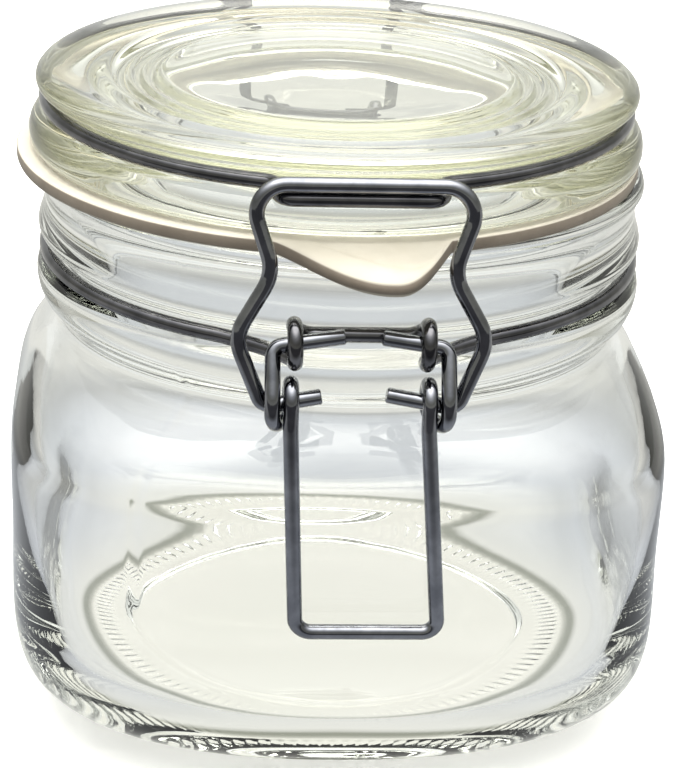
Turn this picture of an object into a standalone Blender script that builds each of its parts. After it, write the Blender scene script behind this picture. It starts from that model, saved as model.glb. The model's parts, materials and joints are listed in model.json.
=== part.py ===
"""Bail clamp jar: a glass jar whose glass lid is held down by a wire bail and an over-centre wire lever.

Dimensions are in millimetres here and turned into metres when a mesh or a curve is made.
+Z is up, the clasp faces -Y, and the origin is the middle of the base's resting ring.
"""
import bpy
import numpy as np
from math import acos, asin, cos, hypot, pi, radians, sin, tan

MM = 0.001

# --- glass jar -----------------------------------------------------------------------------------
TURN_STEPS = 40            # facets round the glass
REST_RADIUS = 39.5         # outer edge of the flat resting ring
REST_INNER_RADIUS = 33.5   # inner edge of the resting ring
BASE_RECESS = 0.9          # depth of the shallow hollow under the base
BODY_HALF_WIDTH = 52.2     # half of the square body's width
BODY_SQUARENESS = 3.6      # exponent of the body's rounded square, 2 is a circle
WALL = 3.6                 # glass thickness of the body
FLOOR = 5.0                # glass thickness of the base
WAIST_RADIUS = 45.0       # the narrowest ring, between body and neck
WAIST_Z = 60.3
MOUTH_RADIUS = 41.8
RIM_RADIUS = 48.2
RIM_Z = 86.1               # top of the jar's rim

# --- wires ---------------------------------------------------------------------------------------
WIRE_RADIUS = 1.15
WIRE_GAP = 0.3             # clearance between neighbouring pieces
NECK_RING_RADIUS = 46.85   # to the wire's middle
NECK_RING_Z = 72.0
EYE_RADIUS = 2.8           # coil eyes of the neck ring, to the wire's middle
EYE_X = (9.6, 9.4)         # where an eye's turn starts and ends, out from the middle
LEVER_AXIS_Y = 53.0        # the lever's pivot line, in front of the jar's middle
HINGE_AXIS_Y = 54.1        # the lid's pivot line, behind it
EYE_AXIS_Z = 74.8          # height of both lines
BRIDGE_GAP = 3.7           # from a pivot line in to the straight stretch between its eyes
BRIDGE_Z = 74.8

# --- gasket --------------------------------------------------------------------------------------
GASKET_THICKNESS = 2.2
GASKET_OUTER = 49.2
GASKET_INNER = 42.2
GASKET_SHIFT = -2.2        # the loose ring rests this far off the middle, towards -X
TAB_HALF_WIDTH = 13.0
TAB_TIP_X = 5.0            # the pull tab's tip is off its middle
TAB_FULLNESS = (1.45, 1.2)  # how soon the tab falls away from its tip, towards -X and +X
TAB_LENGTH = 7.6
TAB_DROOP = 3.6
TAB_ROOT = 3.0             # width of the ring's edge that is drawn out into the tab

# --- lid -----------------------------------------------------------------------------------------
LID_SHIFT = -1.0           # the lid's play in the mouth, towards -X
GASKET_Z = RIM_Z + WIRE_GAP
SEAT_Z = GASKET_Z + GASKET_THICKNESS + WIRE_GAP
FLANGE_RADIUS = 48.3
LID_RIM_RADIUS = 47.3
LID_TOP_Z = 101.0
LID_RING_RADIUS = 45.85
LID_RING_Z = 96.0
LID_SWING_LEG_X = 13.2     # the lid ring's two rear legs
TONGUE_X = (11.2, 12.2)    # the lid ring's front tongue, towards -X and +X
TONGUE_Y = 50.3
TONGUE_Z = 95.5

# --- clasp ---------------------------------------------------------------------------------------
BAIL_PIVOT_Y = 54.3
BAIL_PIVOT_Z = 66.4
BAIL_TOP_Y = 51.3
BAIL_TOP_Z = 97.9
BAIL_FOOT_X = 13.95        # where a bail leg turns in towards the pivot line
BAIL_TILT = radians(10.5)  # its wire ends rise a little towards the middle
LEVER_LEG_X = 9.9
LEVER_TILT = radians(9)    # the lever's wire ends rise less
LINK_X = 12.6
LINK_DROP = 3.1            # the links turn under the bail's pivot this far down
HAIRPIN_RADIUS = 2.65
LEVER_BOTTOM_Y = 54.2
LEVER_BOTTOM_Z = 29.3
LEVER_SKEW = 2.4           # the handle hangs this far off straight at its bar
LEVER_SPREAD = 0.7         # and its legs stand this much further out there
LEVER_STUB_X = (2.3, 3.1)  # where the lever's wire ends stop, towards -X and +X
BAIL_STUB_X = (5.5, 3.8)   # where the bail's wire ends stop


def clear_scene():
    for item in list(bpy.data.objects):
        bpy.data.objects.remove(item, do_unlink=True)


def material(name, colour, roughness, metallic=0.0, alpha=1.0):
    made = bpy.data.materials.new(name)
    made.use_nodes = True
    shader = made.node_tree.nodes["Principled BSDF"]
    shader.inputs["Base Color"].default_value = (*colour, 1.0)
    shader.inputs["Roughness"].default_value = roughness
    shader.inputs["Metallic"].default_value = metallic
    shader.inputs["Alpha"].default_value = alpha
    return made


def axis_empty(name, place):
    empty = bpy.data.objects.new(name, None)
    empty.empty_display_size = 10 * MM
    empty.location = [MM * value for value in place]
    bpy.context.collection.objects.link(empty)
    return empty


def link(name, data, origin, look, parent=None):
    """Put data, whose points are counted from origin, into the scene with origin as the object's own."""
    made = bpy.data.objects.new(name, data)
    if parent is None:
        made.location = [MM * value for value in origin]
    else:
        made.parent = parent
    data.materials.append(look)
    bpy.context.collection.objects.link(made)
    return made


# --- round and square glass ----------------------------------------------------------------------
def loft(name, rings, look, origin=(0, 0, 0), parent=None, closed_profile=False):
    """Skin rings of equal count. Open ends are closed with a fan, a closed profile meets itself."""
    count = len(rings[0])
    points = [point for ring in rings for point in ring]
    faces = []
    spans = len(rings) if closed_profile else len(rings) - 1
    for row in range(spans):
        low = row * count
        high = ((row + 1) % len(rings)) * count
        for step in range(count):
            after = (step + 1) % count
            faces.append((low + step, low + after, high + after, high + step))
    if not closed_profile:
        for row, flip in ((0, True), (len(rings) - 1, False)):
            centre = len(points)
            points.append(tuple(np.mean(rings[row], axis=0)))
            for step in range(count):
                edge = (row * count + step, row * count + (step + 1) % count)
                faces.append((centre, edge[1], edge[0]) if flip else (centre, edge[0], edge[1]))
    mesh = bpy.data.meshes.new(name)
    mesh.from_pydata([tuple(MM * (p[i] - origin[i]) for i in range(3)) for p in points], [], faces)
    mesh.update()
    mesh.shade_smooth()
    mesh.set_sharp_from_angle(angle=radians(35))
    return link(name, mesh, origin, look, parent)


def square_radius(angle, half_width, squareness):
    """Distance from the middle to a rounded square's outline; squareness 2 gives a circle."""
    across = abs(cos(angle)) ** squareness + abs(sin(angle)) ** squareness
    return half_width / across ** (1 / squareness)


def turned_ring(z, half_width, squareness=2.0, steps=TURN_STEPS):
    ring = []
    for step in range(steps):
        angle = 2 * pi * step / steps
        reach = square_radius(angle, half_width, squareness)
        ring.append((reach * cos(angle), reach * sin(angle), z))
    return ring


def shifted(ring, along_x):
    return [(x + along_x, y, z) for x, y, z in ring]


def jar_outside():
    """Rows of height, half width and squareness from the base's resting ring up to the rim."""
    half = BODY_HALF_WIDTH
    square = BODY_SQUARENESS
    base = [(0.0, REST_RADIUS, 2.0), (0.5, REST_RADIUS + 1.6, 2.1), (2.0, half - 7.2, 2.4),
            (4.5, half - 3.8, 2.8), (8.5, half - 1.3, 3.2)]
    body = [(14.5, half - 0.2, square), (30.0, half, square), (44.0, half, square),
            (48.5, half - 0.6, 3.4), (52.5, half - 1.9, 3.0), (55.5, half - 3.6, 2.5),
            (58.0, half - 5.6, 2.15)]
    neck = [(WAIST_Z, WAIST_RADIUS, 2.0), (62.4, WAIST_RADIUS + 0.7, 2.0), (64.8, 47.6, 2.0),
            (67.0, 48.3, 2.0), (69.0, 48.2, 2.0), (70.0, 47.0, 2.0), (70.6, 45.4, 2.0),
            (73.3, 45.4, 2.0), (73.9, 46.6, 2.0), (74.7, 47.8, 2.0), (75.9, 48.1, 2.0),
            (77.4, 47.7, 2.0), (80.4, 47.0, 2.0), (83.4, 47.5, 2.0), (84.6, RIM_RADIUS, 2.0),
            (85.5, RIM_RADIUS - 0.2, 2.0)]
    return base + body + neck


def jar_inside():
    """Rows from the rim down the inside of the mouth, the body and onto the floor."""
    half = BODY_HALF_WIDTH - WALL
    return [(RIM_Z, RIM_RADIUS - 1.0, 2.0), (RIM_Z, MOUTH_RADIUS + 0.6, 2.0),
            (RIM_Z - 0.7, MOUTH_RADIUS, 2.0), (59.6, MOUTH_RADIUS, 2.0), (57.2, MOUTH_RADIUS + 1.1, 2.1),
            (54.2, half - 3.0, 2.5), (50.5, half - 0.9, 3.1), (45.5, half, 3.5), (16.0, half - 0.6, 3.4),
            (10.5, half - 2.6, 3.0), (7.0, half - 6.0, 2.5), (FLOOR + 0.4, half - 11.5, 2.2),
            (FLOOR, half - 16.5, 2.0)]


def jar_body(look):
    recess = [(BASE_RECESS, REST_INNER_RADIUS - 1.6, 2.0), (0.0, REST_INNER_RADIUS, 2.0)]
    rows = recess + jar_outside() + jar_inside()
    return loft("jar_body", [turned_ring(*row) for row in rows], look)


def lid_outline():
    """Rows of height and radius, from under the middle out to the flange and back over the top."""
    plug = [(94.6, 27.0), (94.0, 31.5), (91.8, 34.6), (86.0, 36.0), (84.6, 37.2), (84.6, 38.2),
            (86.0, 39.2), (SEAT_Z - 0.3, 40.0), (SEAT_Z, 40.6)]
    flange = [(SEAT_Z, 47.3), (89.6, FLANGE_RADIUS), (92.2, FLANGE_RADIUS), (93.4, 47.5), (94.2, 46.4)]
    groove = [(94.5, 45.1), (94.8, 44.4), (97.2, 44.4), (97.6, 45.1)]
    rim = [(98.0, 46.2), (98.7, LID_RIM_RADIUS), (99.7, LID_RIM_RADIUS), (100.6, 46.3),
           (LID_TOP_Z - 0.2, 45.3), (LID_TOP_Z, 44.0)]
    dish = [(100.0, 40.6), (99.7, 39.6), (99.7, 35.7), (99.0, 34.8), (99.0, 29.2), (99.8, 28.2), (99.9, 24.0)]
    return plug + flange + groove + rim + dish


def lid_glass(look, parent, origin):
    rings = [shifted(turned_ring(z, radius), LID_SHIFT) for z, radius in lid_outline()]
    return loft("lid_glass", rings, look, origin, parent)


# --- gasket --------------------------------------------------------------------------------------
def tab_reach(x):
    """How far the pull tab stands out at x, from 0 at its sides to 1 at its off-centre tip."""
    right = x > TAB_TIP_X
    side = TAB_HALF_WIDTH - TAB_TIP_X if right else TAB_HALF_WIDTH + TAB_TIP_X
    share = min(1.0, abs(x - TAB_TIP_X) / side)
    return (1 - share ** 2) ** TAB_FULLNESS[right]


def gasket_angles():
    """Angles round the gasket, closer together across the tab at the front."""
    tab_angle = asin((TAB_HALF_WIDTH - GASKET_SHIFT) / GASKET_OUTER)
    tab = [-tab_angle * cos(pi * step / 14) for step in range(15)]
    rest = np.linspace(tab_angle, 2 * pi - tab_angle, 37)[1:-1]
    return [angle - pi / 2 for angle in tab + list(rest)]


def gasket_point(angle, radius, z):
    """A point of the gasket; towards the outside it is drawn out and down into the tab."""
    x, y = GASKET_SHIFT + radius * cos(angle), radius * sin(angle)
    share = (radius - GASKET_OUTER + TAB_ROOT) / TAB_ROOT
    if share > 0 and y < 0:
        reach = tab_reach(x)
        y -= share * TAB_LENGTH * reach
        z -= share ** 2 * TAB_DROOP * reach
    return (x, y, z)


def gasket(look, parent, origin):
    low, high = GASKET_Z, GASKET_Z + GASKET_THICKNESS
    outline = [(GASKET_INNER, low), (GASKET_OUTER - 3.0, low), (GASKET_OUTER - 1.5, low),
               (GASKET_OUTER - 0.3, low), (GASKET_OUTER, low + 0.4), (GASKET_OUTER, high - 0.4),
               (GASKET_OUTER - 0.3, high), (GASKET_OUTER - 1.5, high), (GASKET_OUTER - 3.0, high),
               (GASKET_INNER, high)]
    angles = gasket_angles()
    rings = [[gasket_point(angle, radius, z) for angle in angles] for radius, z in outline]
    return loft("gasket", rings, look, origin, parent, closed_profile=True)


# --- bent wire -----------------------------------------------------------------------------------
def bent(corners, step=radians(22)):
    """Points of a wire through (point, bend radius) corners; a bend radius of 0 keeps the point."""
    places = [np.array(point, float) for point, _ in corners]
    path = [places[0]]
    for index in range(1, len(places) - 1):
        here, bend = places[index], corners[index][1]
        back = places[index - 1] - here
        ahead = places[index + 1] - here
        back, ahead = back / np.linalg.norm(back), ahead / np.linalg.norm(ahead)
        turn = pi - acos(np.clip(back @ ahead, -1, 1))
        if bend == 0 or turn < 0.02:
            path.append(here)
            continue
        middle = back + ahead
        centre = here + middle / np.linalg.norm(middle) * bend / cos(turn / 2)
        start = here + back * bend * tan(turn / 2) - centre
        side = -back
        pieces = max(2, round(turn / step))
        for piece in range(pieces + 1):
            angle = turn * piece / pieces
            path.append(centre + start * cos(angle) + side * bend * sin(angle))
    path.append(places[-1])
    return path


def smooth_join(start, start_way, end, end_way, pieces):
    """Inner points of a smooth curve that leaves start along start_way and meets end along end_way."""
    start, start_way, end, end_way = (np.array(v, float) for v in (start, start_way, end, end_way))
    points = []
    for piece in range(1, pieces):
        t = piece / pieces
        points.append((2 * t**3 - 3 * t**2 + 1) * start + (t**3 - 2 * t**2 + t) * start_way
                      + (3 * t**2 - 2 * t**3) * end + (t**3 - t**2) * end_way)
    return points


def way(start, end, length):
    """A vector of the given length from start towards end."""
    return (end - start) * length / np.linalg.norm(end - start)


def arc(radius, z, start, end, step=radians(9)):
    """Points of a level arc; the angles count from the front, towards +X."""
    pieces = max(2, round(abs(end - start) / step))
    turns = [start + (end - start) * piece / pieces for piece in range(pieces + 1)]
    return [np.array((radius * sin(turn), -radius * cos(turn), z)) for turn in turns]


def mirrored(points, axis):
    flip = np.ones(3)
    flip[axis] = -1
    return [np.array(point) * flip for point in reversed(points)]


def wire(name, points, look, origin=(0, 0, 0), parent=None, closed=False):
    curve = bpy.data.curves.new(name, "CURVE")
    curve.dimensions = "3D"
    curve.resolution_u = 1
    curve.render_resolution_u = 0
    curve.bevel_depth = WIRE_RADIUS * MM
    curve.bevel_resolution = 2
    curve.use_fill_caps = not closed
    spline = curve.splines.new("POLY")
    spline.points.add(len(points) - 1)
    spline.use_cyclic_u = closed
    for target, point in zip(spline.points, points):
        target.co = (*(MM * (np.array(point) - np.array(origin))), 1.0)
    spline.use_smooth = True
    return link(name, curve, origin, look, parent)


def neck_quarter(axis_y):
    """The neck ring from the middle of a bridge, round one eye on the line at axis_y, to its widest point."""
    start_turn, end_turn, pieces = radians(52), radians(270), 14
    eye = []
    for piece in range(pieces + 1):
        share = piece / pieces
        angle = start_turn + share * (end_turn - start_turn)
        eye.append(np.array((EYE_X[0] + (EYE_X[1] - EYE_X[0]) * share,
                             -axis_y + EYE_RADIUS * cos(angle),
                             EYE_AXIS_Z + EYE_RADIUS * sin(angle))))
    bridge_y = BRIDGE_GAP - axis_y
    middle = np.array((0, bridge_y, BRIDGE_Z))
    bridge_end = np.array((EYE_X[0] - 3.0, bridge_y, BRIDGE_Z))
    ring = arc(NECK_RING_RADIUS, NECK_RING_Z, radians(27), radians(90))
    into_eye = smooth_join(bridge_end, (5.0, 0, 0), eye[0], way(eye[0], eye[1], 5.0), 6)
    to_ring = smooth_join(eye[-1], way(eye[-2], eye[-1], 7.0), ring[0], way(ring[0], ring[1], 14.0), 8)
    return [middle, bridge_end] + into_eye + eye + to_ring + ring


def neck_ring(look):
    back_right = mirrored(neck_quarter(HINGE_AXIS_Y), 1)
    right = neck_quarter(LEVER_AXIS_Y) + back_right[1:]
    left = mirrored(right, 0)
    return wire("neck_ring", right + left[1:-1], look, closed=True)


def lid_ring_half(tongue_x):
    """The lid ring's +X half, from its rear wire end to the middle of a front tongue tongue_x long."""
    leg, pivot = LID_SWING_LEG_X, HINGE_AXIS_Y
    rear = radians(180 - 24)
    front = radians(19)
    ring = arc(LID_RING_RADIUS, LID_RING_Z, rear, front)
    stub = [((5.2, pivot, EYE_AXIS_Z), 0), ((leg, pivot, EYE_AXIS_Z), 1.7)]
    riser = [((leg, pivot - 2.6, LID_RING_Z), 2.2)]
    groove = [(point, 0) for point in ring]
    reach = (LID_RING_RADIUS * sin(front) - tongue_x) / cos(front)
    corner_y = -LID_RING_RADIUS * cos(front) - reach * sin(front)
    tongue = [((tongue_x, corner_y, LID_RING_Z), 2.4), ((tongue_x, -TONGUE_Y, TONGUE_Z), 2.3),
              ((0, -TONGUE_Y, TONGUE_Z), 0)]
    return bent(stub + riser + groove + tongue)


def lid_ring(look, parent, origin):
    left, right = (lid_ring_half(tongue_x) for tongue_x in TONGUE_X)
    whole = right + mirrored(left, 0)[1:]
    return wire("lid_ring", [point + np.array((LID_SHIFT, 0, 0)) for point in whole], look, origin, parent)


def lever_half(stub_end):
    """The lever's +X half, from the middle of its handle bar to a wire end stub_end from the middle."""
    back_y, front_y = -BAIL_PIVOT_Y + HAIRPIN_RADIUS, -BAIL_PIVOT_Y - HAIRPIN_RADIUS
    top_z = BAIL_PIVOT_Z + HAIRPIN_RADIUS
    turn_z = BAIL_PIVOT_Z - LINK_DROP
    eye_middle = sum(EYE_X) / 2
    drop = tan(LEVER_TILT) * (LINK_X - eye_middle)
    rise = tan(LEVER_TILT) * (eye_middle - stub_end)
    corners = [((0, -LEVER_BOTTOM_Y, LEVER_BOTTOM_Z), 0),
               ((LEVER_LEG_X, -LEVER_BOTTOM_Y, LEVER_BOTTOM_Z), 2.3),
               ((LEVER_LEG_X, front_y, BAIL_PIVOT_Z - 3.0), 6.0),
               ((LEVER_LEG_X, front_y, top_z), HAIRPIN_RADIUS - 0.01),
               ((LEVER_LEG_X, back_y, top_z), HAIRPIN_RADIUS - 0.01),
               ((LEVER_LEG_X, back_y, turn_z), 2.4),
               ((LINK_X, front_y, turn_z), 2.4),
               ((LINK_X, front_y, BAIL_PIVOT_Z + 1.0), 4.0),
               ((LINK_X, -LEVER_AXIS_Y, EYE_AXIS_Z - drop), 1.6),
               ((stub_end, -LEVER_AXIS_Y, EYE_AXIS_Z + rise), 0)]
    return bent(corners)


def skewed(point):
    """Move a point of the handle's legs sideways, the more the lower it is."""
    top_z = BAIL_PIVOT_Z - 4.0
    if point[1] > 0.5 - LEVER_BOTTOM_Y or point[2] > top_z:
        return point
    share = (top_z - point[2]) / (top_z - LEVER_BOTTOM_Z)
    spread = LEVER_SPREAD * point[0] / LEVER_LEG_X
    return point + np.array((share * (LEVER_SKEW + spread), 0, 0))


def lever(look, origin):
    left, right = (lever_half(stub_end) for stub_end in LEVER_STUB_X)
    return wire("lever", [skewed(point) for point in mirrored(left, 0) + right[1:]], look, origin)


def bail_side(stub_end):
    """The bail's +X half from the middle of its top bar to a wire end that stops stub_end from the middle."""
    rise = BAIL_TOP_Z - BAIL_PIVOT_Z
    lean = (BAIL_PIVOT_Y - BAIL_TOP_Y) / rise
    length = hypot(rise, BAIL_PIVOT_Y - BAIL_TOP_Y)
    drop = tan(BAIL_TILT) * (BAIL_FOOT_X - LEVER_LEG_X)
    lift = tan(BAIL_TILT) * (LEVER_LEG_X - stub_end)
    outline = [(0, length, 0), (16.9, length, 4.2), (12.7, 0.60 * length, 6.0), (18.1, 0.30 * length, 5.5),
               (BAIL_FOOT_X, -drop, 1.8), (stub_end, lift, 0)]
    corners = []
    for x, along, bend in outline:
        up = along / length
        corners.append(((x, -BAIL_PIVOT_Y + lean * rise * up, BAIL_PIVOT_Z + rise * up), bend))
    return bent(corners)


def bail(look, origin):
    left, right = (bail_side(stub_end) for stub_end in BAIL_STUB_X)
    return wire("bail", mirrored(left, 0) + right[1:], look, origin)


def build():
    clear_scene()
    steel = (0.42, 0.42, 0.43)
    lid_axis = (0, HINGE_AXIS_Y, EYE_AXIS_Z)
    lid_parent = axis_empty("lid_axis", lid_axis)
    jar_body(material("jar_glass", (0.86, 0.90, 0.90), 0.05, alpha=0.35))
    neck_ring(material("neck_ring_steel", steel, 0.28, 1.0))
    lid_glass(material("lid_glass", (0.88, 0.91, 0.84), 0.05, alpha=0.35), lid_parent, lid_axis)
    gasket(material("gasket_rubber", (0.56, 0.50, 0.44), 0.6), lid_parent, lid_axis)
    lid_ring(material("lid_ring_steel", steel, 0.28, 1.0), lid_parent, lid_axis)
    lever(material("lever_steel", steel, 0.25, 1.0), (0, -LEVER_AXIS_Y, EYE_AXIS_Z))
    bail(material("bail_steel", steel, 0.22, 1.0), (0, -BAIL_PIVOT_Y, BAIL_PIVOT_Z))


build()
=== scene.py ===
"""Looks of the bail clamp jar: clear pressed glass, drawn steel wire and a rubber gasket with a pull tab.

The CAD frame is loaded in metres. Outlines and wire routes are worked out here in millimetres from the
sizes of the CAD nodes, finer than the CAD has them, and turned into metres when a piece is made.
"""
import json
from math import acos, asin, cos, hypot, pi, radians, sin, tan

import bpy
import numpy as np
from mathutils import Matrix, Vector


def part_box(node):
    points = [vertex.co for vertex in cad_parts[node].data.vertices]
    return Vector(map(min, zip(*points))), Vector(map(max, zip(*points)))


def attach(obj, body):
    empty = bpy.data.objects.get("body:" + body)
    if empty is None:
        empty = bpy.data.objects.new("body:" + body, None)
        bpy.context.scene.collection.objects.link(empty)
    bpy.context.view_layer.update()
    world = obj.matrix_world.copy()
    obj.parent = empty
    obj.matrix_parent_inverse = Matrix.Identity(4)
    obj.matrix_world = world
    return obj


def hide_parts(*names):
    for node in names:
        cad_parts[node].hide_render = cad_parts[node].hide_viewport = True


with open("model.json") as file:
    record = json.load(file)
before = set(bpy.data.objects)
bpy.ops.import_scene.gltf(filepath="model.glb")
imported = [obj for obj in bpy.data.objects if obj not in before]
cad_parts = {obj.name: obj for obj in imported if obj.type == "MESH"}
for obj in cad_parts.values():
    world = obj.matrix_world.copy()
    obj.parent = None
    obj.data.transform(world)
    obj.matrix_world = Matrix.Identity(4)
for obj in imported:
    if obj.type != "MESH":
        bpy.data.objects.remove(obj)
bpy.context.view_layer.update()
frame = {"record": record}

MM = 0.001
FRONT = -pi / 2            # turning angle that points at the clasp


def node_box(node):
    low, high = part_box(node)
    return np.array(low) / MM, np.array(high) / MM


def joint_place(name):
    found = [joint for joint in frame["record"]["behaviour"]["joints"] if joint["name"] == name]
    return np.array(found[0]["pos_m"]) / MM


# --- sizes taken from the frame --------------------------------------------------------------------
JAR_HIGH = node_box("jar_body")[1]
LID_LOW, LID_HIGH = node_box("lid_glass")
NECK_LOW, NECK_HIGH = node_box("neck_ring")
LID_RING_LOW, LID_RING_HIGH = node_box("lid_ring")
GASKET_LOW, GASKET_HIGH = node_box("gasket")
LEVER_LOW = node_box("lever")[0]
BAIL_HIGH = node_box("bail")[1]
HINGE = joint_place("lid_hinge")
LEVER_AXIS = joint_place("lever_hinge")
BAIL_AXIS = joint_place("bail_hinge")

# --- glass jar -------------------------------------------------------------------------------------
HALF = JAR_HIGH[0]
RIM_Z = JAR_HIGH[2]
WALL = 3.6
FLOOR = 5.0
SQUARENESS = 3.6           # exponent of the body's rounded square, 2 is a circle
WAIST_RADIUS = 45.0
WAIST_Z = 60.3
MOUTH_RADIUS = 41.8
RIM_RADIUS = 48.2
REST_RADIUS = 39.5
RECESS_RADIUS = 33.5       # of the shallow hollow under the base
RECESS = 0.9
JAR_STEPS = 480
JAR_ROW_GAP = 1.5
TICKS = 120                # short radial grooves in the resting ring
TICK_DEPTH = 0.38
TICK_RADII = (36.3, 40.6)
TICK_EASE = 0.8            # length over which a groove runs out at either end
UNDERSIDE_Z = 1.5          # the grooves are cut only below this height

# --- glass lid -------------------------------------------------------------------------------------
SEAT_Z = GASKET_HIGH[2] + 0.3
LID_SHIFT = (LID_LOW[0] + LID_HIGH[0]) / 2      # the lid's play in the mouth
FLANGE_RADIUS = (LID_HIGH[0] - LID_LOW[0]) / 2
LID_RIM_RADIUS = FLANGE_RADIUS - 1.0
LID_TOP_Z = LID_HIGH[2]
LID_STEPS = 288
LID_ROW_GAP = 0.8
SEAM_ANGLE = FRONT - radians(33)
SEAM_HEIGHT = 0.10
SEAM_WIDTH = 0.45
SEAM_FADE = 2.0            # the seam fades in and out over this height

# --- wires -----------------------------------------------------------------------------------------
WIRE_RADIUS = 1.15
WIRE_SIDES = 6             # bevel resolution, which gives 16 sides
NECK_RING_RADIUS = NECK_HIGH[0] - WIRE_RADIUS
NECK_RING_Z = NECK_LOW[2] + WIRE_RADIUS
EYE_RADIUS = 2.8
EYE_X = (9.6, 9.4)
BRIDGE_GAP = 3.7
LID_RING_RADIUS = (LID_RING_HIGH[0] - LID_RING_LOW[0]) / 2 - WIRE_RADIUS
LID_RING_Z = LID_RING_HIGH[2] - WIRE_RADIUS
LID_SWING_LEG_X = 13.2
TONGUE_X = (11.2, 12.2)    # the front tongue, towards -X and +X
TONGUE_Y = -LID_RING_LOW[1] - WIRE_RADIUS
TONGUE_Z = LID_RING_Z - 0.5
BAIL_TOP_Y = 51.3
BAIL_TOP_Z = BAIL_HIGH[2] - WIRE_RADIUS
BAIL_FOOT_X = 13.95
BAIL_TILT = radians(10.5)
BAIL_STUB_X = (5.5, 3.8)   # where its wire ends stop, towards -X and +X
LEVER_LEG_X = 9.9
LEVER_TILT = radians(9)
LEVER_STUB_X = (2.3, 3.1)
LINK_X = 12.6
LINK_DROP = 3.1
HAIRPIN_RADIUS = 2.65
LEVER_BOTTOM_Y = 54.2
LEVER_BOTTOM_Z = LEVER_LOW[2] + WIRE_RADIUS
LEVER_SKEW = 2.4
LEVER_SPREAD = 0.7

# --- gasket ----------------------------------------------------------------------------------------
GASKET_THICKNESS = 2.2
GASKET_TOP_Z = GASKET_HIGH[2]
GASKET_LOW_Z = GASKET_TOP_Z - GASKET_THICKNESS
GASKET_SHIFT = (GASKET_LOW[0] + GASKET_HIGH[0]) / 2
GASKET_OUTER = (GASKET_HIGH[0] - GASKET_LOW[0]) / 2
GASKET_INNER = 42.2
TAB_HALF_WIDTH = 13.0
TAB_TIP_X = 5.0            # the pull tab's tip is off its middle
TAB_FULLNESS = (1.45, 1.2)  # how soon the tab falls away from its tip, towards -X and +X
TAB_LENGTH = 7.6
TAB_DROOP = 3.6
TAB_ROOT = 3.0             # width of the ring's edge that is drawn out into the tab
CREASE_DEPTH = 0.8         # of the fold that crosses the tab
CREASE_WIDTH = 0.09        # as a share of the tab's length


# --- node materials --------------------------------------------------------------------------------
class Nodes:
    """A material's node tree, with short ways to add and join nodes."""

    def __init__(self, name):
        self.made = bpy.data.materials.new(name)
        self.made.use_nodes = True
        self.tree = self.made.node_tree
        self.tree.nodes.clear()
        self.out = self.add("ShaderNodeOutputMaterial")

    def add(self, kind, **settings):
        node = self.tree.nodes.new(kind)
        for key, value in settings.items():
            setattr(node, key, value)
        return node

    def join(self, source, target):
        self.tree.links.new(source, target)

    def place(self, stretch=(1, 1, 1)):
        """Positions in the piece's own space, in metres, stretched along its axes."""
        where = self.add("ShaderNodeTexCoord").outputs["Object"]
        scaled = self.add("ShaderNodeMapping")
        scaled.inputs["Scale"].default_value = stretch
        self.join(where, scaled.inputs["Vector"])
        return scaled.outputs["Vector"]

    def noise(self, place, scale, detail=2.0, roughness=0.5):
        node = self.add("ShaderNodeTexNoise")
        node.inputs["Scale"].default_value = scale
        node.inputs["Detail"].default_value = detail
        node.inputs["Roughness"].default_value = roughness
        self.join(place, node.inputs["Vector"])
        return node.outputs["Fac"]

    def ramp(self, value, *stops):
        """A colour ramp through (position, colour) stops."""
        node = self.add("ShaderNodeValToRGB")
        band = node.color_ramp
        while len(band.elements) < len(stops):
            band.elements.new(0.5)
        for element, (position, colour) in zip(band.elements, stops):
            element.position = position
            element.color = (*colour, 1.0)
        self.join(value, node.inputs["Fac"])
        return node.outputs["Color"]

    def span(self, value, low, high):
        """A value between 0 and 1 carried to the range from low to high."""
        node = self.add("ShaderNodeMapRange")
        node.inputs["To Min"].default_value = low
        node.inputs["To Max"].default_value = high
        self.join(value, node.inputs["Value"])
        return node.outputs["Result"]

    def bump(self, height, distance, strength=1.0, normal=None):
        node = self.add("ShaderNodeBump")
        node.inputs["Distance"].default_value = distance
        node.inputs["Strength"].default_value = strength
        self.join(height, node.inputs["Height"])
        if normal is not None:
            self.join(normal, node.inputs["Normal"])
        return node.outputs["Normal"]


def glass(name, tint, absorbs, density, wave):
    """Pressed glass: a slight tint, slow waves with a fine skin over them, and colour in its depth."""
    nodes = Nodes(name)
    shader = nodes.add("ShaderNodeBsdfPrincipled")
    skin_marks = nodes.noise(nodes.place(), scale=38.0, detail=4.0, roughness=0.28)
    nodes.join(nodes.ramp(skin_marks, (0.3, tint), (0.7, [min(1.0, part * 1.02) for part in tint])),
               shader.inputs["Base Color"])
    nodes.join(nodes.bump(skin_marks, wave * MM), shader.inputs["Normal"])
    shader.inputs["Roughness"].default_value = 0.0
    shader.inputs["IOR"].default_value = 1.5
    shader.inputs["Transmission Weight"].default_value = 1.0
    depth = nodes.add("ShaderNodeVolumeAbsorption")
    depth.inputs["Color"].default_value = (*absorbs, 1.0)
    depth.inputs["Density"].default_value = density
    nodes.join(shader.outputs["BSDF"], nodes.out.inputs["Surface"])
    nodes.join(depth.outputs["Volume"], nodes.out.inputs["Volume"])
    return nodes.made


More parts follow.
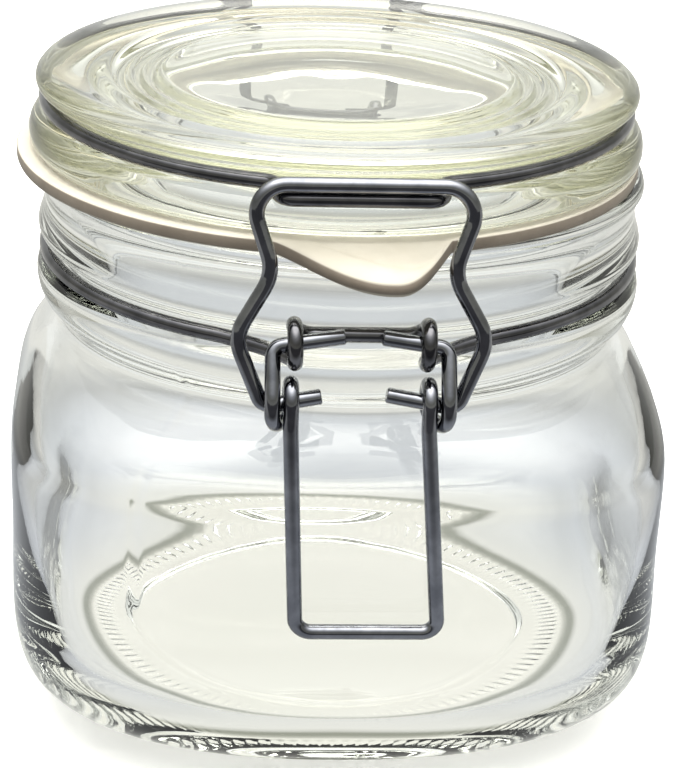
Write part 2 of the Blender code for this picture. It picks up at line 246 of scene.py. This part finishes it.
def steel(name, dark, light, roughness, scratch):
    """Drawn and plated wire: patchy grey, with fine handling marks and a little roughness."""
    nodes = Nodes(name)
    shader = nodes.add("ShaderNodeBsdfPrincipled")
    place = nodes.place()
    patches = nodes.noise(place, scale=180.0, detail=4.0, roughness=0.6)
    marks = nodes.noise(place, scale=1400.0, detail=3.0, roughness=0.65)
    nodes.join(nodes.ramp(patches, (0.35, dark), (0.65, light)), shader.inputs["Base Color"])
    nodes.join(nodes.span(marks, roughness - 0.05, roughness + 0.09), shader.inputs["Roughness"])
    nodes.join(nodes.bump(marks, scratch * MM), shader.inputs["Normal"])
    shader.inputs["Metallic"].default_value = 1.0
    nodes.join(shader.outputs["BSDF"], nodes.out.inputs["Surface"])
    return nodes.made


def rubber(name):
    """Natural rubber: pale cream over, under and in the bore; the outer edge, where the faces look
    sideways, is painted darker as shade.
    """
    nodes = Nodes(name)
    shader = nodes.add("ShaderNodeBsdfPrincipled")
    place = nodes.place()
    mottle = nodes.noise(place, scale=150.0, detail=4.0, roughness=0.6)
    skin_marks = nodes.noise(place, scale=2600.0, detail=2.0)
    cream = nodes.ramp(mottle, (0.3, (0.66, 0.61, 0.51)), (0.7, (0.74, 0.69, 0.59)))
    # painted shade: the darker colour of the sideways-facing outer edge, not a colour of the rubber
    edge = nodes.ramp(mottle, (0.3, (0.20, 0.165, 0.13)), (0.7, (0.28, 0.235, 0.19)))
    facing_way = nodes.add("ShaderNodeTexCoord").outputs["Normal"]
    upright = nodes.add("ShaderNodeSeparateXYZ")
    nodes.join(facing_way, upright.inputs["Vector"])
    level = nodes.add("ShaderNodeMath", operation="ABSOLUTE")
    nodes.join(upright.outputs["Z"], level.inputs[0])
    inward = nodes.add("ShaderNodeVectorMath", operation="DOT_PRODUCT")
    to_middle = -1 / (GASKET_OUTER * MM)
    nodes.join(nodes.place((to_middle, to_middle, 0)), inward.inputs[0])
    nodes.join(facing_way, inward.inputs[1])
    black, white = (0, 0, 0), (1, 1, 1)
    # faces that look up, down or into the bore keep the cream; the outward-looking side gets the painted
    # shade
    unshaded_faces = nodes.add("ShaderNodeMath", operation="MAXIMUM")
    nodes.join(nodes.ramp(level.outputs["Value"], (0.45, black), (0.65, white)), unshaded_faces.inputs[0])
    nodes.join(nodes.ramp(inward.outputs["Value"], (0.1, black), (0.3, white)), unshaded_faces.inputs[1])
    pale = nodes.add("ShaderNodeMix", data_type="RGBA")
    nodes.join(unshaded_faces.outputs["Value"], pale.inputs["Factor"])
    nodes.join(edge, pale.inputs["A"])
    nodes.join(cream, pale.inputs["B"])
    nodes.join(pale.outputs["Result"], shader.inputs["Base Color"])
    nodes.join(nodes.span(skin_marks, 0.42, 0.62), shader.inputs["Roughness"])
    nodes.join(nodes.bump(skin_marks, 0.02 * MM), shader.inputs["Normal"])
    nodes.join(shader.outputs["BSDF"], nodes.out.inputs["Surface"])
    return nodes.made


# --- curves through points -------------------------------------------------------------------------
def spline_rows(rows, gap, closed=False):
    """Points on a smooth curve through the given rows, about gap apart (centripetal Catmull-Rom)."""
    given = np.array(rows, float)
    if closed:
        given = np.vstack([given[-1:], given, given[:2]])
    else:
        given = np.vstack([2 * given[0] - given[1], given, 2 * given[-1] - given[-2]])
    smooth = []
    for first in range(len(given) - 3):
        before, start, end, after = given[first:first + 4]
        steps = [max(np.linalg.norm(b - a), 1e-6) ** 0.5 for a, b in
                 ((before, start), (start, end), (end, after))]
        start_way = ((start - before) / steps[0] - (end - before) / (steps[0] + steps[1])) * steps[1]
        end_way = ((after - end) / steps[2] - (after - start) / (steps[1] + steps[2])) * steps[1]
        start_way, end_way = start_way + end - start, end_way + end - start
        pieces = max(2, round(np.linalg.norm(end - start) / gap))
        smooth += [hermite(start, start_way, end, end_way, piece / pieces) for piece in range(pieces)]
    if not closed:
        smooth.append(given[-2])
    return smooth


def hermite(start, start_way, end, end_way, t):
    """The point at t, from 0 to 1, of a curve from start, along start_way, to end, along end_way."""
    return ((2 * t**3 - 3 * t**2 + 1) * start + (t**3 - 2 * t**2 + t) * start_way
            + (3 * t**2 - 2 * t**3) * end + (t**3 - t**2) * end_way)


def bent(corners, step=radians(8)):
    """Points of a wire through (point, bend radius) corners; a bend radius of 0 keeps the point."""
    places = [np.array(point, float) for point, _ in corners]
    path = [places[0]]
    for index in range(1, len(places) - 1):
        here, bend = places[index], corners[index][1]
        back = places[index - 1] - here
        ahead = places[index + 1] - here
        back, ahead = back / np.linalg.norm(back), ahead / np.linalg.norm(ahead)
        turn = pi - acos(np.clip(back @ ahead, -1, 1))
        if bend == 0 or turn < 0.02:
            path.append(here)
            continue
        middle = back + ahead
        centre = here + middle / np.linalg.norm(middle) * bend / cos(turn / 2)
        start = here + back * bend * tan(turn / 2) - centre
        pieces = max(2, round(turn / step))
        for piece in range(pieces + 1):
            angle = turn * piece / pieces
            path.append(centre + start * cos(angle) - back * bend * sin(angle))
    path.append(places[-1])
    return path


def way(start, end, length):
    """A vector of the given length from start towards end."""
    return (end - start) * length / np.linalg.norm(end - start)


def smooth_join(start, start_way, end, end_way, pieces):
    """Inner points of a smooth curve between two ends."""
    start, start_way, end, end_way = (np.array(v, float) for v in (start, start_way, end, end_way))
    return [hermite(start, start_way, end, end_way, piece / pieces) for piece in range(1, pieces)]


def arc(radius, z, start, end, step=radians(2)):
    """Points of a level arc; the angles count from the front, towards +X."""
    pieces = max(2, round(abs(end - start) / step))
    turns = [start + (end - start) * piece / pieces for piece in range(pieces + 1)]
    return [np.array((radius * sin(turn), -radius * cos(turn), z)) for turn in turns]


def mirrored(points, axis):
    flip = np.ones(3)
    flip[axis] = -1
    return [np.array(point) * flip for point in reversed(points)]


# --- meshes ----------------------------------------------------------------------------------------
def show(piece, body, node, look):
    """Put a piece into the scene in place of its CAD node."""
    bpy.context.collection.objects.link(piece)
    piece.data.materials.append(look)
    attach(piece, body)
    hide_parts(node)
    return piece


def skin(name, rings, closed=False):
    """A mesh over rings of equal count, an array of (row, step, xyz). Open ends get a fan."""
    rings = np.array(rings)
    rows, count = rings.shape[:2]
    points = rings.reshape(-1, 3)
    spans = rows if closed else rows - 1
    low = (np.arange(spans) * count)[:, None]
    high = ((np.arange(spans) + 1) % rows * count)[:, None]
    step = np.arange(count)[None, :]
    after = (step + 1) % count
    faces = np.stack([low + step, low + after, high + after, high + step], axis=2).reshape(-1, 4).tolist()
    if not closed:
        ends = np.vstack([rings[0].mean(axis=0), rings[-1].mean(axis=0)])
        under, over = len(points), len(points) + 1
        last = (rows - 1) * count
        points = np.vstack([points, ends])
        faces += [(under, (s + 1) % count, s) for s in range(count)]
        faces += [(over, last + s, last + (s + 1) % count) for s in range(count)]
    mesh = bpy.data.meshes.new(name)
    mesh.from_pydata((points * MM).tolist(), [], faces)
    mesh.update()
    mesh.shade_smooth()
    return bpy.data.objects.new(name, mesh)


def turned(rows, steps):
    """Rings for rows of height, half width and squareness: an array of (row, step, xyz)."""
    rows = np.array(rows)
    angles = 2 * pi * np.arange(steps) / steps
    z, half, square = rows[:, 0:1], rows[:, 1:2], rows[:, 2:3]
    across = np.abs(np.cos(angles)) ** square + np.abs(np.sin(angles)) ** square
    reach = half / across ** (1 / square)
    return np.stack([reach * np.cos(angles), reach * np.sin(angles), z + 0 * reach], axis=2)


def add_seams(rings, low_z, high_z, rows):
    """A faint mould seam up two opposite sides of the given outer rows, between two heights."""
    angles = np.arctan2(rings[rows, :, 1], rings[rows, :, 0])
    radius = np.hypot(rings[rows, :, 0], rings[rows, :, 1])
    z = rings[rows, :, 2]
    height = np.clip((z - low_z) / SEAM_FADE, 0, 1) * np.clip((high_z - z) / SEAM_FADE, 0, 1)
    off = np.abs(np.sin(angles - SEAM_ANGLE)) * radius
    swell = 1 + SEAM_HEIGHT * height * np.exp(-(off / SEAM_WIDTH) ** 2) / radius
    rings[rows, :, 0] *= swell
    rings[rows, :, 1] *= swell


def wire(name, points, closed=False):
    """A round wire along points; an open wire's cut ends are eased with a small chamfer."""
    curve = bpy.data.curves.new(name, "CURVE")
    curve.dimensions = "3D"
    curve.resolution_u = 1
    curve.render_resolution_u = 0
    curve.bevel_depth = WIRE_RADIUS * MM
    curve.bevel_resolution = WIRE_SIDES
    curve.use_fill_caps = not closed
    radii = [1.0] * len(points)
    if not closed:
        points, radii = chamfered(points)
    spline = curve.splines.new("POLY")
    spline.points.add(len(points) - 1)
    spline.use_cyclic_u = closed
    for target, point, radius in zip(spline.points, points, radii):
        target.co = (*(MM * point), 1.0)
        target.radius = radius
    spline.use_smooth = True
    return bpy.data.objects.new(name, curve)


def chamfered(points, length=0.22):
    """The points with one more near each end, and radii that take the corner off the wire there."""
    first = points[0] + way(points[0], points[1], length)
    last = points[-1] + way(points[-1], points[-2], length)
    points = [points[0], first] + list(points[1:-1]) + [last, points[-1]]
    end_radius = 1 - 0.8 * length
    return points, [end_radius] + [1.0] * (len(points) - 2) + [end_radius]


# --- jar -------------------------------------------------------------------------------------------
def jar_outside():
    """Rows of height, half width and squareness from the base's resting ring up to the rim."""
    base = [(0.0, REST_RADIUS, 2.0), (0.5, REST_RADIUS + 1.6, 2.1), (2.0, HALF - 7.2, 2.4),
            (4.5, HALF - 3.8, 2.8), (8.5, HALF - 1.3, 3.2)]
    body = [(14.5, HALF - 0.25, SQUARENESS), (30.0, HALF - 0.1, SQUARENESS),
            (46.5, HALF - 0.15, SQUARENESS), (49.5, HALF - 0.8, 3.4), (52.5, HALF - 1.9, 3.0),
            (55.5, HALF - 3.6, 2.5), (58.0, HALF - 5.6, 2.15)]
    neck = [(WAIST_Z, WAIST_RADIUS, 2.0), (62.4, WAIST_RADIUS + 0.7, 2.0), (64.8, 47.6, 2.0),
            (67.0, 48.3, 2.0), (69.0, 48.2, 2.0), (70.0, 47.0, 2.0), (70.6, 45.4, 2.0),
            (73.3, 45.4, 2.0), (73.9, 46.6, 2.0), (74.7, 47.8, 2.0), (75.9, 48.1, 2.0),
            (77.4, 47.7, 2.0), (80.4, 47.0, 2.0), (83.4, 47.5, 2.0), (84.6, RIM_RADIUS, 2.0),
            (85.5, RIM_RADIUS - 0.2, 2.0)]
    return base + body + neck


def jar_inside():
    """Rows from the rim down the inside of the mouth, the body and onto the floor."""
    half = HALF - WALL
    return [(RIM_Z, RIM_RADIUS - 1.0, 2.0), (RIM_Z, MOUTH_RADIUS + 0.9, 2.0),
            (RIM_Z - 1.0, MOUTH_RADIUS, 2.0), (59.6, MOUTH_RADIUS, 2.0), (57.2, MOUTH_RADIUS + 1.1, 2.1),
            (54.2, half - 3.0, 2.6), (51.0, half - 1.0, 3.3), (47.5, half, 3.8), (16.0, half - 0.6, 3.75),
            (10.5, half - 2.4, 3.0), (7.0, half - 5.4, 2.5), (FLOOR + 0.5, half - 9.2, 2.2),
            (FLOOR, half - 12.6, 2.0), (FLOOR, 30.0, 2.0), (FLOOR + 0.05, 18.0, 2.0),
            (FLOOR + 0.1, 2.0, 2.0)]


def jar_underside():
    """Rows from the middle of the base's shallow recess out to the resting ring."""
    return [(RECESS + 0.5, 2.0, 2.0), (RECESS + 0.3, 16.0, 2.0), (RECESS, RECESS_RADIUS - 3.2, 2.0),
            (RECESS - 0.05, RECESS_RADIUS - 1.6, 2.0), (0.1, RECESS_RADIUS - 0.3, 2.0),
            (0.0, RECESS_RADIUS + 0.6, 2.0), (0.0, TICK_RADII[0], 2.0)]


def add_ticks(rings):
    """Cut the ring's short radial grooves into the lowest rows."""
    radius = np.hypot(rings[:, :, 0], rings[:, :, 1])
    low, high = TICK_RADII
    inside = np.clip((radius - low) / TICK_EASE, 0, 1) * np.clip((high - radius) / TICK_EASE, 0, 1)
    under = rings[:, :, 2] < UNDERSIDE_Z
    turn = np.arange(rings.shape[1]) * TICKS * 2 * pi / rings.shape[1]
    rings[:, :, 2] += inside * under * TICK_DEPTH * (0.5 + 0.5 * np.cos(turn))


def make_jar(look):
    outside = spline_rows(jar_underside() + jar_outside(), JAR_ROW_GAP)
    inside = spline_rows(jar_inside(), JAR_ROW_GAP)
    rings = turned(outside + inside, JAR_STEPS)
    rings[:, :, 2] = np.maximum(rings[:, :, 2], 0)
    add_seams(rings, WAIST_Z - 30, RIM_Z - 1, np.arange(len(outside)))
    add_ticks(rings)
    show(skin("jar_clear", rings), "jar", "jar_body", look)


# --- lid -------------------------------------------------------------------------------------------
def lid_rows():
    """Rows of height, radius and squareness, from under the middle out to the flange and over the top."""
    plug = [(94.6, 2.0), (94.6, 27.0), (94.0, 31.5), (91.8, 34.6), (86.0, 36.0), (84.6, 37.0), (84.6, 38.2),
            (86.0, 39.2), (SEAT_Z - 0.3, 40.0), (SEAT_Z, 40.9)]
    flange = [(SEAT_Z, 47.0), (SEAT_Z + 0.7, FLANGE_RADIUS), (92.2, FLANGE_RADIUS), (93.4, 47.5),
              (94.2, 46.4)]
    groove = [(94.5, 45.1), (94.8, 44.4), (97.2, 44.4), (97.6, 45.1)]
    rim = [(98.0, 46.3), (98.7, LID_RIM_RADIUS), (99.6, LID_RIM_RADIUS), (100.5, 46.4),
           (LID_TOP_Z - 0.15, 45.4), (LID_TOP_Z, 44.0)]
    bevel = [(LID_TOP_Z - 0.35, 42.4), (99.95, 40.3), (99.7, 39.4), (99.7, 36.0)]
    ridges = [(99.3, 35.3), (98.7, 34.6), (98.7, 33.6), (99.15, 33.0), (99.15, 32.5), (98.7, 31.9),
              (98.7, 31.3), (99.15, 30.7), (99.15, 30.2), (98.8, 29.6), (99.0, 28.8), (99.7, 28.0)]
    disc = [(99.85, 27.0), (99.9, 20.0), (99.95, 2.0)]
    return [(z, radius, 2.0) for z, radius in plug + flange + groove + rim + bevel + ridges + disc]


def make_lid(look):
    rings = turned(spline_rows(lid_rows(), LID_ROW_GAP), LID_STEPS)
    outer = np.flatnonzero(np.hypot(rings[:, 0, 0], rings[:, 0, 1]) > 44.2)
    add_seams(rings, SEAT_Z, LID_TOP_Z - 0.5, outer)
    rings[:, :, 0] += LID_SHIFT
    show(skin("lid_clear", rings), "lid", "lid_glass", look)


# --- gasket ----------------------------------------------------------------------------------------
def tab_reach(x):
    """How far the pull tab stands out at x, from 0 at its sides to 1 at its off-centre tip."""
    right = x > TAB_TIP_X
    side = TAB_HALF_WIDTH - TAB_TIP_X if right else TAB_HALF_WIDTH + TAB_TIP_X
    share = min(1.0, abs(x - TAB_TIP_X) / side)
    return (1 - share ** 2) ** TAB_FULLNESS[right]


def gasket_angles():
    """Angles round the gasket, closer together across the tab at the front."""
    tab_angle = asin((TAB_HALF_WIDTH - GASKET_SHIFT) / GASKET_OUTER)
    tab = [-tab_angle * cos(pi * step / 72) for step in range(73)]
    rest = np.linspace(tab_angle, 2 * pi - tab_angle, 221)[1:-1]
    return [angle + FRONT for angle in tab + list(rest)]


def gasket_point(angle, radius, z):
    """A point of the gasket; towards the outside it is drawn out and down into the creased tab."""
    x, y = GASKET_SHIFT + radius * cos(angle), radius * sin(angle)
    share = (radius - GASKET_OUTER + TAB_ROOT) / TAB_ROOT
    if share > 0 and y < 0:
        reach = tab_reach(x)
        y -= share * TAB_LENGTH * reach
        z -= share ** 2 * TAB_DROOP * reach
        z -= CREASE_DEPTH * reach * crease(x, share)
    return (x, y, z)


def crease(x, share):
    """A soft fold that crosses the tab from its left root to its tip."""
    along = (x + 8.5) / 15.5
    return np.exp(-((share - 0.28 - 0.42 * along) / CREASE_WIDTH) ** 2) * np.clip(4 * along, 0, 1)


def make_gasket(look):
    low, high, outer = GASKET_LOW_Z, GASKET_TOP_Z, GASKET_OUTER
    lip = [(outer - 0.5, low), (outer - 0.15, low + 0.12), (outer, low + 0.45), (outer, high - 0.45),
           (outer - 0.15, high - 0.12), (outer - 0.5, high)]
    spread = [outer - 0.5 - 2.5 * step / 16 for step in range(1, 17)]
    bore = [(GASKET_INNER + 0.4, high), (GASKET_INNER + 0.1, high - 0.15), (GASKET_INNER, high - 0.5),
            (GASKET_INNER, low + 0.5), (GASKET_INNER + 0.1, low + 0.15), (GASKET_INNER + 0.4, low)]
    over = [(radius, high) for radius in spread]
    under = [(radius, low) for radius in spread[::-1]]
    outline = lip + over + bore + under
    angles = gasket_angles()
    rings = [[gasket_point(angle, radius, z) for angle in angles] for radius, z in outline]
    show(skin("gasket_rubber_ring", rings, closed=True), "lid", "gasket", look)


# --- wire routes -----------------------------------------------------------------------------------
def neck_quarter(axis_y):
    """The neck ring from a bridge's middle, round one eye on the line at axis_y, to its widest point."""
    start_turn, end_turn, pieces = radians(52), radians(270), 40
    eye = []
    for piece in range(pieces + 1):
        share = piece / pieces
        angle = start_turn + share * (end_turn - start_turn)
        eye.append(np.array((EYE_X[0] + (EYE_X[1] - EYE_X[0]) * share,
                             -axis_y + EYE_RADIUS * cos(angle),
                             LEVER_AXIS[2] + EYE_RADIUS * sin(angle))))
    bridge_y, bridge_z = BRIDGE_GAP - axis_y, LEVER_AXIS[2]
    middle = np.array((0, bridge_y, bridge_z))
    bridge_end = np.array((EYE_X[0] - 3.0, bridge_y, bridge_z))
    ring = arc(NECK_RING_RADIUS, NECK_RING_Z, radians(27), radians(90))
    into_eye = smooth_join(bridge_end, (5.0, 0, 0), eye[0], way(eye[0], eye[1], 5.0), 14)
    to_ring = smooth_join(eye[-1], way(eye[-2], eye[-1], 7.0), ring[0], way(ring[0], ring[1], 14.0), 20)
    return [middle, bridge_end] + into_eye + eye + to_ring + ring


def neck_ring_route():
    back_right = mirrored(neck_quarter(HINGE[1]), 1)
    right = neck_quarter(-LEVER_AXIS[1]) + back_right[1:]
    left = mirrored(right, 0)
    return right + left[1:-1]


def lid_ring_half(tongue_x):
    """The lid ring's +X half, from its rear wire end to the middle of a front tongue tongue_x long."""
    leg, pivot = LID_SWING_LEG_X, HINGE[1]
    front = radians(19)
    ring = arc(LID_RING_RADIUS, LID_RING_Z, radians(180 - 24), front)
    stub = [((5.2, pivot, HINGE[2]), 0), ((leg, pivot, HINGE[2]), 1.7)]
    riser = [((leg, pivot - 2.6, LID_RING_Z), 2.2)]
    groove = [(point, 0) for point in ring]
    reach = (LID_RING_RADIUS * sin(front) - tongue_x) / cos(front)
    corner_y = -LID_RING_RADIUS * cos(front) - reach * sin(front)
    tongue = [((tongue_x, corner_y, LID_RING_Z), 2.4), ((tongue_x, -TONGUE_Y, TONGUE_Z), 2.3),
              ((0, -TONGUE_Y, TONGUE_Z), 0)]
    return bent(stub + riser + groove + tongue)


def lid_ring_route():
    """The lid ring from one rear wire end, round the lid's groove and its front tongue, to the other."""
    left, right = (lid_ring_half(tongue_x) for tongue_x in TONGUE_X)
    return [point + np.array((LID_SHIFT, 0, 0)) for point in right + mirrored(left, 0)[1:]]


def skewed(point):
    """Move a point of the handle's legs sideways, the more the lower it is."""
    top_z = BAIL_AXIS[2] - 4.0
    if point[1] > 0.5 - LEVER_BOTTOM_Y or point[2] > top_z:
        return point
    share = (top_z - point[2]) / (top_z - LEVER_BOTTOM_Z)
    spread = LEVER_SPREAD * point[0] / LEVER_LEG_X
    return point + np.array((share * (LEVER_SKEW + spread), 0, 0))


def lever_half(stub_end):
    """The lever's +X half, from the middle of its handle bar to a wire end stub_end from the middle."""
    pivot_y, pivot_z = -BAIL_AXIS[1], BAIL_AXIS[2]
    axis_y, axis_z = -LEVER_AXIS[1], LEVER_AXIS[2]
    back_y, front_y = -pivot_y + HAIRPIN_RADIUS, -pivot_y - HAIRPIN_RADIUS
    top_z, turn_z = pivot_z + HAIRPIN_RADIUS, pivot_z - LINK_DROP
    eye_middle = sum(EYE_X) / 2
    drop = tan(LEVER_TILT) * (LINK_X - eye_middle)
    rise = tan(LEVER_TILT) * (eye_middle - stub_end)
    return bent([((0, -LEVER_BOTTOM_Y, LEVER_BOTTOM_Z), 0),
                 ((LEVER_LEG_X, -LEVER_BOTTOM_Y, LEVER_BOTTOM_Z), 2.3),
                 ((LEVER_LEG_X, front_y, pivot_z - 3.0), 6.0),
                 ((LEVER_LEG_X, front_y, top_z), HAIRPIN_RADIUS - 0.01),
                 ((LEVER_LEG_X, back_y, top_z), HAIRPIN_RADIUS - 0.01),
                 ((LEVER_LEG_X, back_y, turn_z), 2.4),
                 ((LINK_X, front_y, turn_z), 2.4),
                 ((LINK_X, front_y, pivot_z + 1.0), 4.0),
                 ((LINK_X, -axis_y, axis_z - drop), 1.6),
                 ((stub_end, -axis_y, axis_z + rise), 0)])


def lever_route():
    """The lever from one wire end in the neck ring's eye, round its handle, to the other."""
    left, right = (lever_half(stub_end) for stub_end in LEVER_STUB_X)
    return [skewed(point) for point in mirrored(left, 0) + right[1:]]


def bail_side(stub_end):
    """The bail's +X half, from the middle of its top bar to a wire end stub_end from the middle."""
    pivot_y, pivot_z = -BAIL_AXIS[1], BAIL_AXIS[2]
    rise = BAIL_TOP_Z - pivot_z
    lean = (pivot_y - BAIL_TOP_Y) / rise
    length = hypot(rise, pivot_y - BAIL_TOP_Y)
    drop = tan(BAIL_TILT) * (BAIL_FOOT_X - LEVER_LEG_X)
    lift = tan(BAIL_TILT) * (LEVER_LEG_X - stub_end)
    outline = [(0, length, 0), (16.9, length, 4.2), (12.7, 0.60 * length, 6.0), (18.1, 0.30 * length, 5.5),
               (BAIL_FOOT_X, -drop, 1.8), (stub_end, lift, 0)]
    corners = []
    for x, along, bend in outline:
        up = rise * along / length
        corners.append(((x, -pivot_y + lean * up, pivot_z + up), bend))
    return bent(corners)


def bail_route():
    left, right = (bail_side(stub_end) for stub_end in BAIL_STUB_X)
    return mirrored(left, 0) + right[1:]


def make_wires():
    plated = steel("plated_steel", (0.15, 0.155, 0.175), (0.25, 0.255, 0.28), 0.06, 0.004)
    dull = steel("drawn_steel", (0.08, 0.08, 0.088), (0.15, 0.148, 0.158), 0.11, 0.006)
    show(wire("neck_ring_wire", neck_ring_route(), closed=True), "jar", "neck_ring", dull)
    show(wire("lid_ring_wire", lid_ring_route()), "lid", "lid_ring", dull)
    show(wire("lever_wire", lever_route()), "lever", "lever", plated)
    show(wire("bail_wire", bail_route()), "bail", "bail", plated)


# --- studio ----------------------------------------------------------------------------------------
FLOOR_HALF_SIDE = 3.0      # metres, like every length here
FLOOR_Z = -0.0002          # a little under the resting ring
# the floor glows this much on its own to the camera: painted fill light that lifts the shadow on it
FLOOR_FILL = 0.2
TABLE_REACH = 0.25         # the rings below count from the middle, as shares of this
FRONT_DARK = 0.17          # towards the front the table is darkest from here on
FRONT_FALL = 14.0          # and this much lighter with each metre behind it
FRONT_SHADE = (0.18, 0.18, 0.20)
# the glowing table's colours out from the middle: the cream inside is a painted pool of light under the
# jar, the dark band near 0.17 is a painted contact shadow round its foot, then a blue-grey and darker room
PAINTED_TABLE_RINGS = ((0.0, (0.93, 0.92, 0.82)), (0.164, (0.95, 0.94, 0.84)), (0.170, (0.30, 0.31, 0.25)),
               (0.176, (0.30, 0.31, 0.25)), (0.182, (0.84, 0.84, 0.78)), (0.27, (0.68, 0.71, 0.74)),
               (0.42, (0.66, 0.69, 0.72)), (0.60, (0.50, 0.51, 0.50)), (0.90, (0.80, 0.80, 0.75)))
BACKDROP_LIFT = 0.56       # the backdrop is as bright as the sky at this height
SKY_BANDS = ((0.0, (0.55, 0.55, 0.48)), (0.25, (0.42, 0.42, 0.36)), (0.45, (0.65, 0.66, 0.62)),
             (0.65, (1.3, 1.32, 1.3)), (0.80, (2.8, 2.8, 2.7)), (0.92, (5.5, 5.45, 5.2)))


def floor_look():
    """A pale floor. In glass and steel it shows as a glowing table top with painted light and shade: a
    painted pool of cream light under the jar, a painted contact shadow ring round its foot, painted shade
    towards the front and a darker room around it.
    """
    nodes = Nodes("pale_floor")
    place = nodes.place()
    grain = nodes.noise(place, scale=60.0, detail=3.0)
    paper = nodes.add("ShaderNodeBsdfDiffuse")
    nodes.join(nodes.ramp(grain, (0.3, (0.90, 0.90, 0.89)), (0.7, (0.93, 0.93, 0.92))),
               paper.inputs["Color"])
    # painted fill light: the floor's own glow, which lifts its shadows
    fill = nodes.add("ShaderNodeEmission")
    fill.inputs["Strength"].default_value = FLOOR_FILL
    lit = nodes.add("ShaderNodeAddShader")
    nodes.join(paper.outputs["BSDF"], lit.inputs[0])
    nodes.join(fill.outputs["Emission"], lit.inputs[1])
    far = nodes.add("ShaderNodeVectorMath", operation="LENGTH")
    nodes.join(place, far.inputs[0])
    reach = nodes.add("ShaderNodeMath", operation="DIVIDE")
    nodes.join(far.outputs["Value"], reach.inputs[0])
    reach.inputs[1].default_value = TABLE_REACH
    split = nodes.add("ShaderNodeSeparateXYZ")
    nodes.join(place, split.inputs["Vector"])
    depth = nodes.add("ShaderNodeMath", operation="ADD")
    nodes.join(split.outputs["Y"], depth.inputs[0])
    depth.inputs[1].default_value = FRONT_DARK
    shade = nodes.add("ShaderNodeMath", operation="MULTIPLY", use_clamp=True)
    nodes.join(depth.outputs["Value"], shade.inputs[0])
    shade.inputs[1].default_value = FRONT_FALL
    both = nodes.add("ShaderNodeMix", data_type="RGBA", blend_type="MULTIPLY")
    both.inputs["Factor"].default_value = 1.0
    nodes.join(nodes.ramp(reach.outputs["Value"], *PAINTED_TABLE_RINGS), both.inputs["A"])
    nodes.join(nodes.ramp(shade.outputs["Value"], (0.0, FRONT_SHADE), (1.0, (1, 1, 1))), both.inputs["B"])
    # to all but camera rays the floor is this glow alone, with its painted light and shade
    table = nodes.add("ShaderNodeEmission")
    nodes.join(both.outputs["Result"], table.inputs["Color"])
    path = nodes.add("ShaderNodeLightPath")
    mix = nodes.add("ShaderNodeMixShader")
    nodes.join(path.outputs["Is Camera Ray"], mix.inputs["Fac"])
    nodes.join(table.outputs["Emission"], mix.inputs[1])
    nodes.join(lit.outputs["Shader"], mix.inputs[2])
    nodes.join(mix.outputs["Shader"], nodes.out.inputs["Surface"])
    return nodes.made


def make_floor():
    side = FLOOR_HALF_SIDE
    mesh = bpy.data.meshes.new("floor")
    corners = [(-side, -side, 0), (side, -side, 0), (side, side, 0), (-side, side, 0)]
    mesh.from_pydata(corners, [], [(0, 1, 2, 3)])
    floor = bpy.data.objects.new("floor", mesh)
    mesh.materials.append(floor_look())
    bpy.context.collection.objects.link(floor)
    floor.location.z = FLOOR_Z


def make_sky():
    """A soft white ceiling and a pale backdrop, with dim walls in front and at the sides."""
    world = bpy.data.worlds.new("studio")
    world.use_nodes = True
    tree = world.node_tree
    where = tree.nodes.new("ShaderNodeTexCoord")
    split = tree.nodes.new("ShaderNodeSeparateXYZ")
    band = tree.nodes.new("ShaderNodeValToRGB")
    while len(band.color_ramp.elements) < len(SKY_BANDS):
        band.color_ramp.elements.new(0.5)
    for element, (position, colour) in zip(band.color_ramp.elements, SKY_BANDS):
        element.position = position
        element.color = (*colour, 1.0)
    tree.links.new(where.outputs["Generated"], split.inputs["Vector"])
    behind = tree.nodes.new("ShaderNodeMath")
    behind.operation = "MULTIPLY"
    tree.links.new(split.outputs["Y"], behind.inputs[0])
    behind.inputs[1].default_value = BACKDROP_LIFT
    lifted = tree.nodes.new("ShaderNodeMath")
    lifted.operation = "MAXIMUM"
    tree.links.new(behind.outputs["Value"], lifted.inputs[0])
    tree.links.new(split.outputs["Z"], lifted.inputs[1])
    tree.links.new(lifted.outputs["Value"], band.inputs["Fac"])
    tree.links.new(band.outputs["Color"], tree.nodes["Background"].inputs["Color"])
    bpy.context.scene.world = world


def make_camera():
    """The camera stands in front, turned a little to the left of the clasp, and looks down at the jar."""
    turn, pitch, yaw, roll = radians(4.13), radians(22.44), radians(0.096), radians(2.2)
    away, height, lens = 0.39426, 0.20955, 121.0
    forward = np.array((sin(yaw) * cos(pitch), cos(yaw) * cos(pitch), -sin(pitch)))
    level = np.array((cos(yaw), -sin(yaw), 0))
    upright = np.cross(level, forward)
    right = level * cos(roll) + upright * sin(roll)
    up = upright * cos(roll) - level * sin(roll)
    round_z = np.array(((cos(turn), sin(turn), 0), (-sin(turn), cos(turn), 0), (0, 0, 1)))
    right, up, back, place = (round_z @ v for v in (right, up, -forward, np.array((0, -away, height))))
    camera = bpy.data.objects.new("camera", bpy.data.cameras.new("camera"))
    camera.data.lens = lens
    camera.data.clip_start = 0.01
    camera.matrix_world = Matrix([(right[i], up[i], back[i], place[i]) for i in range(3)] + [(0, 0, 0, 1)])
    bpy.context.collection.objects.link(camera)
    bpy.context.scene.camera = camera


make_camera()
make_jar(glass("jar_clear_glass", (0.985, 0.99, 0.985), (0.84, 0.87, 0.78), 9.0, 0.10))
make_lid(glass("lid_clear_glass", (0.985, 0.985, 0.95), (0.85, 0.86, 0.62), 14.0, 0.06))
make_gasket(rubber("natural_rubber"))
make_wires()
make_floor()
make_sky()
scene = bpy.context.scene
scene.view_settings.view_transform = "Standard"
scene.cycles.max_bounces = 24
scene.cycles.transmission_bounces = 24
scene.cycles.glossy_bounces = 12
